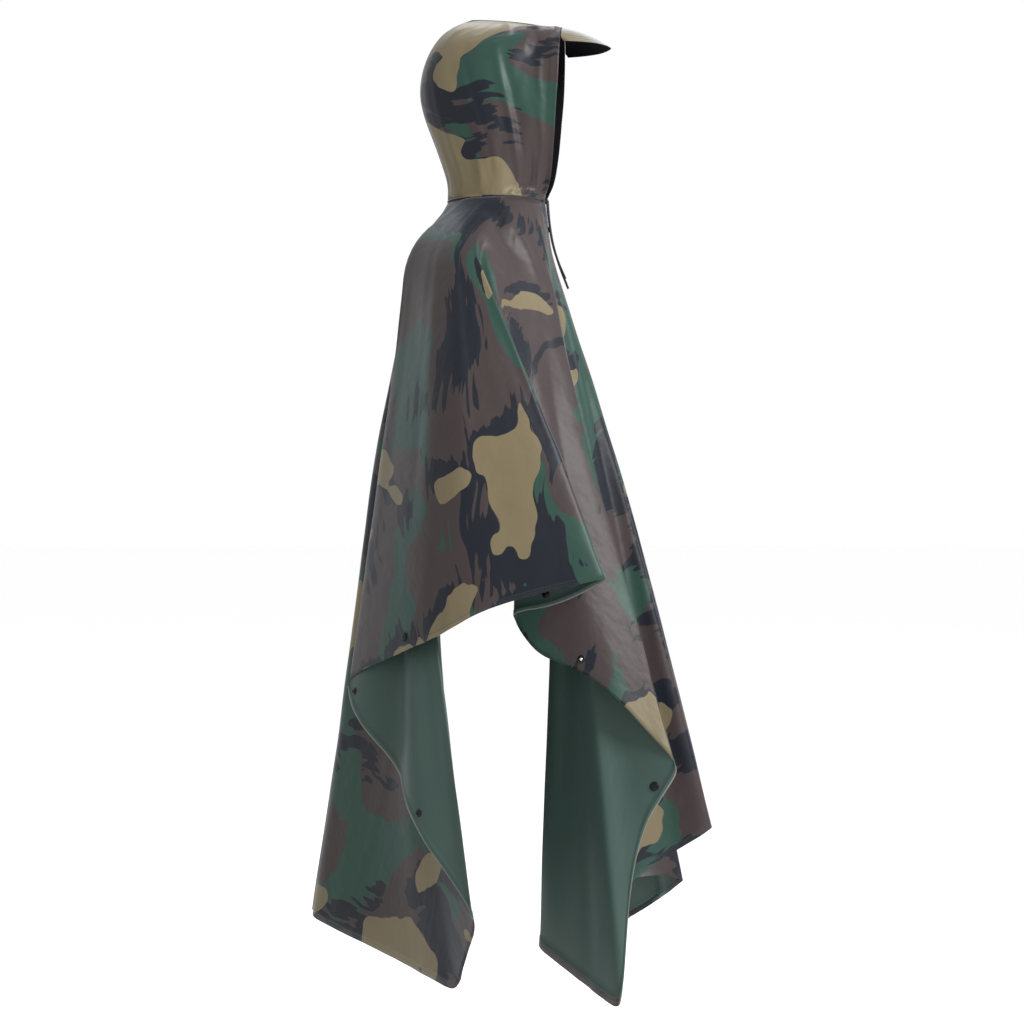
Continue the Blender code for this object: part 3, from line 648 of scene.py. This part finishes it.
def peak_root(share):
    """A point of the face edge, from the near temple, 0, over the forehead to the far one, 1."""
    lift = 1.0 - abs(2 * share - 1.0)
    up = PEAK_TEMPLE_LEVEL + (1.0 - PEAK_TEMPLE_LEVEL) * lift ** 0.6
    side = -1 if share < 0.5 else 1
    point = hood_point(side, 1.0, min(up, 1.0))
    if share == 0.5:
        point[1] = 0.0
    return point


def peak_point(share, out):
    spread = math.sin(math.pi * share) ** PEAK_SPREAD
    reach = PEAK_GAP + (0.004 + (PEAK_LENGTH - 0.004) * spread) * out
    root = peak_root(share)
    bow = 0.004 * math.sin(math.pi * share) * math.sin(math.pi * out)
    return root + np.array([reach, 0.0, (PEAK_EDGE_LEVEL - root[2]) * out ** 1.15 + bow])


def add_peak(materials):
    """The peak bulges a little between its stitched channels."""
    shares = np.linspace(0.0, 1.0, 2 * PEAK_SIDE + 1)
    outs = np.linspace(0.0, 1.0, PEAK_SIDE)
    points = np.array([[peak_point(share, out) for share in shares] for out in outs])
    normals = -grid_normals(points, False)
    spread = np.sin(math.pi * shares)[None, :] ** PEAK_SPREAD
    from_edge = (1.0 - outs)[:, None] * PEAK_LENGTH * spread
    lines = sum(np.exp(-(((from_edge - place) / 0.0012) ** 2)) for place in PEAK_STITCH_LINES)
    rounding = np.clip(from_edge / 0.0025, 0.0, 1.0) ** 0.5
    half = PEAK_THICK / 2 * (0.45 + 0.55 * rounding) - 0.0005 * lines
    width = run_lengths(points, 1)
    height = run_lengths(points, 0)
    places = np.stack([width + PEAK_PRINT[0], height + PEAK_PRINT[1]], axis=-1)
    return shell("hood_peak_cloth", points, normals, places, materials, half, half, turned=True)


# -------- seams


def capped_rings(rings, start, stop):
    """Points and faces of a closed body of rings, with one middle point at each end."""
    points = np.concatenate([rings.reshape(-1, 3), [start, stop]])
    first, last = len(points) - 2, len(points) - 1
    here = np.arange(first).reshape(rings.shape[:2])
    after = np.roll(here, -1, axis=1)
    faces = np.stack([here[:-1], after[:-1], after[1:], here[1:]], axis=-1).reshape(-1, 4).tolist()
    faces += [(first, b, a) for a, b in zip(here[0].tolist(), after[0].tolist())]
    faces += [(last, a, b) for a, b in zip(here[-1].tolist(), after[-1].tolist())]
    return points, faces


def tube(name, path, out, half_width, half_height, sides, material):
    """A closed oval tube along a path; out is the direction of its height at each point."""
    path = np.asarray(path)
    run = np.gradient(path, axis=0)
    run = unit(run)
    out = unit(out - (out * run).sum(1, keepdims=True) * run)
    across = np.cross(run, out)
    angles = np.linspace(0.0, 2 * math.pi, sides, endpoint=False)
    rings = (path[:, None] + across[:, None] * (half_width * np.cos(angles))[None, :, None]
             + out[:, None] * (half_height * np.sin(angles))[None, :, None])
    points, faces = capped_rings(rings, path[0], path[-1])
    lengths = run_lengths(path)
    flat = np.stack([np.repeat(lengths, sides), np.tile(angles * half_width, len(path))], axis=-1)
    flat = np.concatenate([flat, [[lengths[0], 0.0], [lengths[-1], 0.0]]])
    return mesh_object(name, points, faces, [0] * len(faces), [material], flat)


def add_neck_seam(material):
    """The turned seam between the hood and the body, all round but at the throat."""
    acrosses = np.linspace(0.0, 1.0, 110)
    far = np.array([hood_point(1, across, 0.0) for across in acrosses])
    near = np.array([hood_point(-1, across, 0.0) for across in acrosses])
    path = np.concatenate([near[::-1], far])
    path[:, 2] = 0.0003
    out = path * [1.0, 1.0, 0.0]
    path = path + unit(out) * 0.0005
    return tube("neck_seam", path, out, 0.0011, 0.0010, 8, material)


def add_hood_seam(material):
    """The seam that joins the hood's halves, from the nape over the crown to the peak."""
    back = [hood_point(1, 0.0, up) for up in np.linspace(0.01, 1.0, 120)]
    crown = [hood_point(1, across, 1.0) for across in np.linspace(0.0, 0.985, 80)[1:]]
    path = np.array(back + crown)
    path[:, 1] = 0.0
    run = np.gradient(path, axis=0)
    out = unit(np.stack([-run[:, 2], np.zeros(len(run)), run[:, 0]], axis=-1))
    return tube("hood_seam", path + out * 0.0004, out, 0.0016, 0.0009, 8, material)


# -------- studs and drawstring


def panel_at(surface, number, share, down):
    """The point and outward normal of the body's middle surface at shares across a strip and down."""
    points, _, normals, downs = surface
    shares = np.append(strip_shares(number), 1.0)
    first = sum(len(strip_shares(other)) for other in range(number))
    step = min(int(np.searchsorted(shares, share, side="right")) - 1, len(shares) - 2)
    row = min(int(np.searchsorted(downs, down, side="right")) - 1, len(downs) - 2)
    s = (share - shares[step]) / (shares[step + 1] - shares[step])
    t = (down - downs[row]) / (downs[row + 1] - downs[row])
    column, after = first + step, (first + step + 1) % points.shape[1]
    found = []
    for grid in (points, normals):
        upper = grid[row, column] * (1 - s) + grid[row, after] * s
        lower = grid[row + 1, column] * (1 - s) + grid[row + 1, after] * s
        found.append(upper * (1 - t) + lower * t)
    return found[0], unit(found[1])


def strip_of(side, along_edge):
    """The strip, and the share across it, that meets the side edge here: side -1 near, 1 far."""
    for number in range(len(FOLDS)):
        here, after = strip_ends(number)
        low, high = sorted((here[0], after[0]))
        if here[1] == after[1] == side * CUT_SIDE and low <= along_edge <= high:
            return number, (along_edge - here[0]) / (after[0] - here[0])
    raise ValueError("no strip meets the side edge there")


# Half sections of the press studs, from the middle out and back: share of the radius, height over
# the cloth in millimetres. A share under POST_RING has the finish of the middle.
CAP = ((0.0, 2.3), (0.38, 2.3), (0.52, 2.15), (0.60, 1.85), (0.68, 1.85), (0.78, 2.0),
       (0.90, 1.8), (0.98, 1.2), (1.0, 0.5), (0.97, 0.0), (0.0, 0.0))
SOCKET = ((0.0, 0.7), (0.30, 0.7), (0.34, 1.7), (0.40, 2.0), (0.52, 2.0), (0.60, 1.6),
          (0.64, 0.9), (0.80, 0.8), (0.86, 0.5), (0.86, 0.0), (0.0, 0.0))
POST = ((0.0, 3.5), (0.20, 3.4), (0.31, 3.0), (0.34, 2.5), (0.31, 2.0), (0.29, 1.2),
        (0.40, 1.0), (0.78, 0.9), (0.86, 0.5), (0.86, 0.0), (0.0, 0.0))
STUD_SIDES = 40
POST_RING = 0.36
MILLIMETRE = 0.001


def turned_rings(section, seat, normal, radius):
    """A section turned about the normal at the seat: points, faces, and which are in its middle."""
    across = unit(np.cross(normal, [0.0, 0.0, 1.0]))
    other = np.cross(normal, across)
    angles = np.linspace(0.0, 2 * math.pi, STUD_SIDES, endpoint=False)
    spokes = across * np.cos(angles)[:, None] + other * np.sin(angles)[:, None]
    middles = [seat + normal * height * MILLIMETRE for _, height in section]
    shares = [share for share, _ in section]
    rings = np.array([at + spokes * share * radius for at, share in zip(middles, shares)][1:-1])
    points, faces = capped_rings(rings, middles[0], middles[-1])
    inner = [share < POST_RING for share in shares[2:-1] for _ in angles]
    return points, faces, inner + [True] * STUD_SIDES + [False] * STUD_SIDES


def add_stud(node, seat, normal, size, outside, inside, finishes):
    """A press stud through the cloth; outside and inside are each a section and its middle's finish."""
    points, faces, slots = [], [], []
    for (section, finish), out in ((outside, normal), (inside, -normal)):
        made, found, inner = turned_rings(section, seat + out * CLOTH / 2, out, STUD_RADIUS * size)
        base = sum(len(part) for part in points)
        faces.extend(tuple(corner + base for corner in face) for face in found)
        slots.extend([finish if middle else 0 for middle in inner])
        points.append(made)
    piece = mesh_object(node + "_fine", np.concatenate(points), faces, slots, finishes)
    declare(piece, node)


def add_studs(surface, finishes):
    """Front studs: post outside, plain cap inside. Back studs: cap outside, socket inside."""
    down = 1.0 - STUD_FROM_EDGE / (CUT_SIDE - NECK_Y)
    dark, bright = 0, 1
    kinds = (("front", 1, (POST, bright), (CAP, dark)), ("back", -1, (CAP, dark), (SOCKET, dark)))
    for label, side in (("near", -1), ("far", 1)):
        for count, distance in enumerate(STUD_ALONG_EDGE, 1):
            for end, sign, outside, inside in kinds:
                seat, normal = panel_at(surface, *strip_of(side, sign * distance), down)
                name = f"stud_{label}_{end}_{count}"
                add_stud(name, seat, normal, 1.0, outside, inside, finishes)
    seat, normal = panel_at(surface, len(FOLDS) - 1, *THROAT_STUD)
    ends = (CAP, bright), (SOCKET, dark)
    add_stud("stud_throat", seat, normal, THROAT_STUD_SIZE, *ends, finishes)


def smooth_route(route, count):
    """Evenly shared points of a smooth curve through the route."""
    points = [np.array(point) for point in route]
    ends = [points[0] * 2 - points[1]] + points + [points[-1] * 2 - points[-2]]
    made = []
    for step in range(count + 1):
        place = step / count * (len(points) - 1)
        low = min(int(place), len(points) - 2)
        made.append(eased(*ends[low:low + 4], place - low))
    return np.array(made)


def add_cord(name, route, material):
    path = smooth_route(route, 3 * CORD_POINTS)
    radius = CORD_DIAMETER / 2
    piece = tube(name + "_braid", path, np.full_like(path, [1.0, 0.0, 0.0]), radius, radius, 14, material)
    declare(piece, name)


# -------- materials

KHAKI = (0.100, 0.080, 0.044)
BROWN = (0.026, 0.018, 0.018)
GREEN = (0.010, 0.032, 0.024)
BLACK = (0.002, 0.0035, 0.0075)
COATING = (0.026, 0.047, 0.040)
SELVEDGE = (0.11, 0.115, 0.10)
# painted shade: near black for the inside of the hood and the underside of the peak, where there is only
# shade
PAINTED_SHADE_BLACK = (0.004, 0.004, 0.005)
PRINT_SCALE = 1.22
SPECULAR = 0.20
SHEEN_ROUGHNESS = 0.45
SHEEN_TINT = (0.80, 0.90, 1.0)
PRINT_RUMPLE = 0.0017
PLAIN_RUMPLE = 0.0005
WEAVE_PITCH = 0.0009
WEAVE_HEIGHT = 0.000010
BRAID_PITCH = 0.0022
BRAID_STRANDS = 4
STITCH_INSET = 0.0065
STITCH_PITCH = 0.0032
THREAD_HALF = 0.00035


def feed(tree, socket, source):
    """Links a socket as the source, or sets its own value."""
    if isinstance(source, bpy.types.NodeSocket):
        tree.links.new(source, socket)
    elif isinstance(source, tuple) and len(source) == 3 and socket.type == "RGBA":
        socket.default_value = (*source, 1.0)
    else:
        socket.default_value = source


def add(tree, kind, inputs, **settings):
    """The outputs of a new node with these settings, its inputs fed by name or number."""
    node = tree.nodes.new(kind)
    for name, value in settings.items():
        setattr(node, name, value)
    for socket, source in inputs.items():
        feed(tree, node.inputs[socket], source)
    return node.outputs


def calc(tree, operation, *sources):
    return add(tree, "ShaderNodeMath", dict(enumerate(sources)), operation=operation)[0]


def scaled(tree, vector, by):
    return add(tree, "ShaderNodeVectorMath", {0: vector, "Scale": by}, operation="SCALE")[0]


def cut_place(tree):
    return add(tree, "ShaderNodeUVMap", {}, uv_map="cut")[0]


def split(tree, vector):
    return add(tree, "ShaderNodeSeparateXYZ", {0: vector})


def noise(tree, vector, scale, detail=1.0, place=(0.0, 0.0, 0.0), output="Fac"):
    """Noise on a vector times scale, one number or three, with features about 1 / scale apart."""
    scale = scale if isinstance(scale, tuple) else (scale,) * 3
    mapped = add(tree, "ShaderNodeMapping", {"Vector": vector, "Scale": scale, "Location": place})[0]
    return add(tree, "ShaderNodeTexNoise", {"Vector": mapped, "Scale": 1.0, "Detail": detail})[output]


def pushed(tree, vector, by, amount):
    """The vector moved by a noise colour, up to half the amount each way."""
    centred = add(tree, "ShaderNodeVectorMath", {0: by, 1: (0.5, 0.5, 0.5)}, operation="SUBTRACT")[0]
    push = scaled(tree, centred, amount)
    return add(tree, "ShaderNodeVectorMath", {0: vector, 1: push}, operation="ADD")[0]


def ramp(tree, value, low, high):
    """0 at low to 1 at high, eased."""
    inputs = {"Value": value, "From Min": low, "From Max": high}
    return add(tree, "ShaderNodeMapRange", inputs, interpolation_type="SMOOTHSTEP")[0]


def mixed(tree, share, under, over):
    return add(tree, "ShaderNodeMix", {0: share, 6: under, 7: over}, data_type="RGBA")[2]


def band(tree, value, middle, half, soft):
    """1 where the value is within half of the middle."""
    off = calc(tree, "ABSOLUTE", calc(tree, "SUBTRACT", value, middle))
    return ramp(tree, off, half + soft, half - soft)


def woodland(tree, cut, seed):
    """A woodland print drawn from noise: green fields and combed black patches on brown, then rounded khaki
    branches with black along one side. Features are sized in metres on the cloth."""
    cut = scaled(tree, cut, PRINT_SCALE)
    broad = noise(tree, cut, 5.0, 1.0, (seed, 2.0, 0.5), "Color")
    placed = pushed(tree, cut, broad, 0.12)
    small = noise(tree, cut, 24.0, 1.0, (seed, 5.0, 1.5), "Color")
    edged = pushed(tree, placed, small, 0.022)
    combed = noise(tree, placed, (80.0, 12.0, 1.0), 1.0, (3.0, seed, 2.5))
    fingers = calc(tree, "MULTIPLY", calc(tree, "SUBTRACT", combed, 0.5), 0.34)

    green_field = noise(tree, edged, (6.4, 4.6, 6.4), 0.7, (seed + 11.0, 0.0, 0.0))
    green = ramp(tree, calc(tree, "MULTIPLY_ADD", fingers, 0.30, green_field), 0.548, 0.555)
    black_field = noise(tree, placed, (8.0, 5.6, 8.0), 0.8, (seed + 23.0, 4.0, 0.0))
    black = ramp(tree, calc(tree, "ADD", black_field, fingers), 0.575, 0.587)

    cluster = calc(tree, "MULTIPLY_ADD", noise(tree, placed, 3.6, 0.0, (seed + 41.0, 1.0, 0.0)), 1.2, -0.6)
    branch = noise(tree, edged, (11.0, 8.6, 11.0), 0.5, (seed + 37.0, 7.0, 0.0))
    khaki = ramp(tree, calc(tree, "ADD", branch, cluster), 0.656, 0.661)
    beside = noise(tree, placed, (11.0, 8.6, 11.0), 0.5, (seed + 37.22, 6.80, 0.0))
    beside = calc(tree, "ADD", calc(tree, "ADD", beside, cluster), calc(tree, "MULTIPLY", fingers, 0.8))
    shadow = ramp(tree, beside, 0.628, 0.640)

    colour = mixed(tree, green, BROWN, GREEN)
    colour = mixed(tree, calc(tree, "MAXIMUM", black, shadow), colour, BLACK)
    return mixed(tree, khaki, colour, KHAKI)


def stitches(tree, distance, run):
    """Dashes of thread along an edge."""
    line = band(tree, distance, STITCH_INSET, THREAD_HALF, 0.0001)
    wave = calc(tree, "SINE", calc(tree, "MULTIPLY", run, 2 * math.pi / STITCH_PITCH))
    return calc(tree, "MULTIPLY", line, calc(tree, "GREATER_THAN", wave, -0.4))


def cut_edges(tree, cut):
    """Distances on the flat cut from the nearest side edge and the nearest end, and the hem's thread."""
    x, y, _ = split(tree, cut)
    side = calc(tree, "SUBTRACT", CUT_SIDE, calc(tree, "ABSOLUTE", y))
    end = calc(tree, "MINIMUM", calc(tree, "SUBTRACT", CUT_FRONT, x), calc(tree, "ADD", CUT_BACK, x))
    thread = calc(tree, "MAXIMUM", stitches(tree, side, x), stitches(tree, end, y))
    return side, end, thread


def bumped(tree, shader, height, distance=1.0):
    bump = add(tree, "ShaderNodeBump", {"Strength": 1.0, "Distance": distance, "Height": height})
    tree.links.new(bump[0], shader.inputs["Normal"])


def dress(tree, cut, shader, colour, rumple, extra=None):
    """Gives a cloth its colour, its weave and soft rumples of two sizes, in metres of height."""
    tree.links.new(colour, shader.inputs["Base Color"])
    waves = [calc(tree, "SINE", calc(tree, "MULTIPLY", axis, 2 * math.pi / WEAVE_PITCH))
             for axis in split(tree, cut)[:2]]
    weave = calc(tree, "MULTIPLY", calc(tree, "MULTIPLY", *waves), WEAVE_HEIGHT)
    soft = calc(tree, "MULTIPLY", noise(tree, cut, 22.0, 2.0, (4.0, 1.0, 0.0)), rumple)
    small = calc(tree, "MULTIPLY", noise(tree, cut, 90.0, 1.0, (6.0, 2.0, 0.0)), rumple * 0.12)
    height = calc(tree, "ADD", calc(tree, "ADD", weave, soft), small)
    if extra is not None:
        height = calc(tree, "ADD", height, extra)
    bumped(tree, shader, height)


def shaded(tree, cut, colour, depth):
    """The colour made a little lighter and darker in soft patches."""
    patch = noise(tree, cut, 9.0, 3.0, (2.0, 8.0, 0.0))
    return scaled(tree, colour, calc(tree, "MULTIPLY_ADD", patch, 2 * depth, 1.0 - depth))


def new_material(name, roughness, sheen=0.0, metallic=0.0, specular=SPECULAR):
    made = bpy.data.materials.new(name)
    made.use_nodes = True
    shader = made.node_tree.nodes["Principled BSDF"]
    looks = {"Roughness": roughness, "Metallic": metallic, "Specular IOR Level": specular,
             "Sheen Weight": sheen, "Sheen Roughness": SHEEN_ROUGHNESS, "Sheen Tint": SHEEN_TINT}
    for label, value in looks.items():
        feed(made.node_tree, shader.inputs[label], value)
    return made, made.node_tree, shader


def printed_cloth(name, seed, hemmed, sheen=0.10):
    """The printed outside: satin, with the hem's stitches where the piece is the body panel."""
    made, tree, shader = new_material(name, 0.46, sheen)
    cut = cut_place(tree)
    colour = shaded(tree, cut, woodland(tree, cut, seed), 0.10)
    groove = None
    if hemmed:
        side, end, thread = cut_edges(tree, cut)
        colour = mixed(tree, thread, colour, GREEN)
        nearest = calc(tree, "MINIMUM", side, end)
        groove = calc(tree, "MULTIPLY", band(tree, nearest, STITCH_INSET, 0.0006, 0.0006), -0.00025)
    dress(tree, cut, shader, colour, PRINT_RUMPLE, groove)
    return made


def coated_inside(name, seed):
    """The green coating, with the print on the hem that is turned up at the ends and a pale side edge."""
    made, tree, shader = new_material(name, 0.50, 0.06)
    cut = cut_place(tree)
    side, end, thread = cut_edges(tree, cut)
    colour = shaded(tree, cut, COATING, 0.12)
    colour = mixed(tree, ramp(tree, end, 0.0088, 0.0080), colour, woodland(tree, cut, seed))
    colour = mixed(tree, ramp(tree, side, 0.0018, 0.0014), colour, SELVEDGE)
    colour = mixed(tree, thread, colour, BLACK)
    dress(tree, cut, shader, colour, PLAIN_RUMPLE)
    return made


# Painted shade: a near black cloth on the hood's inside and edges and on the peak's underside and edges,
# put where there is only shade
def painted_shade_lining(name):
    made, tree, shader = new_material(name, 0.85, specular=0.05)
    cut = cut_place(tree)
    dress(tree, cut, shader, shaded(tree, cut, PAINTED_SHADE_BLACK, 0.2), PLAIN_RUMPLE)
    return made


def metal(name, colour, roughness):
    made, tree, shader = new_material(name, roughness, metallic=1.0)
    place = add(tree, "ShaderNodeTexCoord", {})["Object"]
    tree.links.new(shaded(tree, place, colour, 0.15), shader.inputs["Base Color"])
    rough = calc(tree, "MULTIPLY_ADD", noise(tree, place, 900.0, 2.0), 0.2, roughness - 0.1)
    tree.links.new(rough, shader.inputs["Roughness"])
    return made


def braided(name):
    """Black braid: two sets of strands that cross, along and round the cord."""
    made, tree, shader = new_material(name, 0.7, 0.2)
    along_cord, round_cord, _ = split(tree, cut_place(tree))
    length = calc(tree, "MULTIPLY", along_cord, 2 * math.pi / BRAID_PITCH)
    turn = calc(tree, "MULTIPLY", round_cord, BRAID_STRANDS * 2 / CORD_DIAMETER)
    one = calc(tree, "SINE", calc(tree, "ADD", length, turn))
    other = calc(tree, "SINE", calc(tree, "SUBTRACT", length, turn))
    height = calc(tree, "MAXIMUM", one, other)
    bumped(tree, shader, height, 0.00025)
    # painted shade: the braid's colour is darker in the hollows between strands and lighter on their tops
    colour = mixed(tree, ramp(tree, height, -0.5, 1.0), (0.003, 0.003, 0.003), (0.012, 0.012, 0.013))
    tree.links.new(colour, shader.inputs["Base Color"])
    return made


# -------- camera, floor and light


def add_camera():
    camera = bpy.data.cameras.new("camera")
    camera.sensor_width = 36.0
    camera.lens = 18.0 / math.tan(CAMERA_FIELD / 2)
    obj = linked("camera", camera)
    turn = math.radians(CAMERA_AZIMUTH)
    back = Vector((math.sin(turn), -math.cos(turn), 0.0))
    obj.location = Vector(CAMERA_TARGET) + back * CAMERA_DISTANCE
    obj.rotation_euler = (-back).to_track_quat("-Z", "Y").to_euler()
    bpy.context.scene.camera = obj


def add_floor():
    mesh = bpy.data.meshes.new("floor")
    corners = [(x * FLOOR_HALF, y * FLOOR_HALF, 0) for x, y in ((-1, -1), (1, -1), (1, 1), (-1, 1))]
    mesh.from_pydata(corners, [], [(0, 1, 2, 3)])
    made, _, shader = new_material("pale_floor", 0.9)
    shader.inputs["Base Color"].default_value = (0.99, 0.99, 0.99, 1.0)
    mesh.materials.append(made)
    floor = linked("floor", mesh)
    floor.location.z = FLOOR_LEVEL


def add_light(name, place, target, size, power):
    light = bpy.data.lights.new(name, "AREA")
    light.shape = "DISK"
    light.size = size
    light.energy = power
    obj = linked(name, light)
    obj.location = place
    obj.rotation_euler = (Vector(target) - Vector(place)).to_track_quat("-Z", "Y").to_euler()


def add_world():
    world = bpy.data.worlds.new("pale_world")
    world.use_nodes = True
    sky = world.node_tree.nodes["Background"]
    sky.inputs["Color"].default_value = (1.0, 1.0, 1.0, 1.0)
    sky.inputs["Strength"].default_value = WORLD_STRENGTH
    bpy.context.scene.world = world
    bpy.context.scene.view_settings.view_transform = "Standard"


# -------- the poncho


def add_body(materials):
    surface = body_surface()
    points, places, normals, downs = surface
    hem = (1.0 - downs) * (CUT_SIDE - NECK_Y) < HEM_WIDTH
    inside = CLOTH / 2 + HEM_LIFT * hem[:, None]
    body = shell("body_cloth", points, normals, places, materials, closed=True, inside=inside)
    declare(body, "body_panel")
    return surface


def main():
    add_world()
    add_camera()
    add_floor()
    for light in LIGHTS:
        add_light(*light)
    cord = braided("black_braid")
    add_cord("drawstring_near", CORD_NEAR, cord)
    add_cord("drawstring_far", CORD_FAR, cord)
    outside = printed_cloth("woodland_outside", BODY_SEED, True)
    inside = coated_inside("green_coating", BODY_SEED)
    surface = add_body([outside, inside, outside])
    dark = metal("dark_plate", (0.020, 0.020, 0.021), 0.35)
    bright = metal("bright_plate", (0.60, 0.60, 0.61), 0.25)
    add_studs(surface, [dark, bright])
    hood_print = printed_cloth("woodland_hood", HOOD_SEED, False)
    # the hood's inside and edges and the peak's underside get the painted shade black
    painted_shade = painted_shade_lining("painted_shade_lining")
    for label, side in (("near", -1), ("far", 1)):
        hood = add_hood(f"hood_{label}_cloth", side, [hood_print, painted_shade, painted_shade])
        declare(hood, f"hood_{label}")
    peak = add_peak([printed_cloth("woodland_peak", PEAK_SEED, False, 0.9), painted_shade, painted_shade])
    declare(peak, "hood_peak")
    for seam in (add_neck_seam(hood_print), add_hood_seam(hood_print)):
        declare(seam, None)


main()
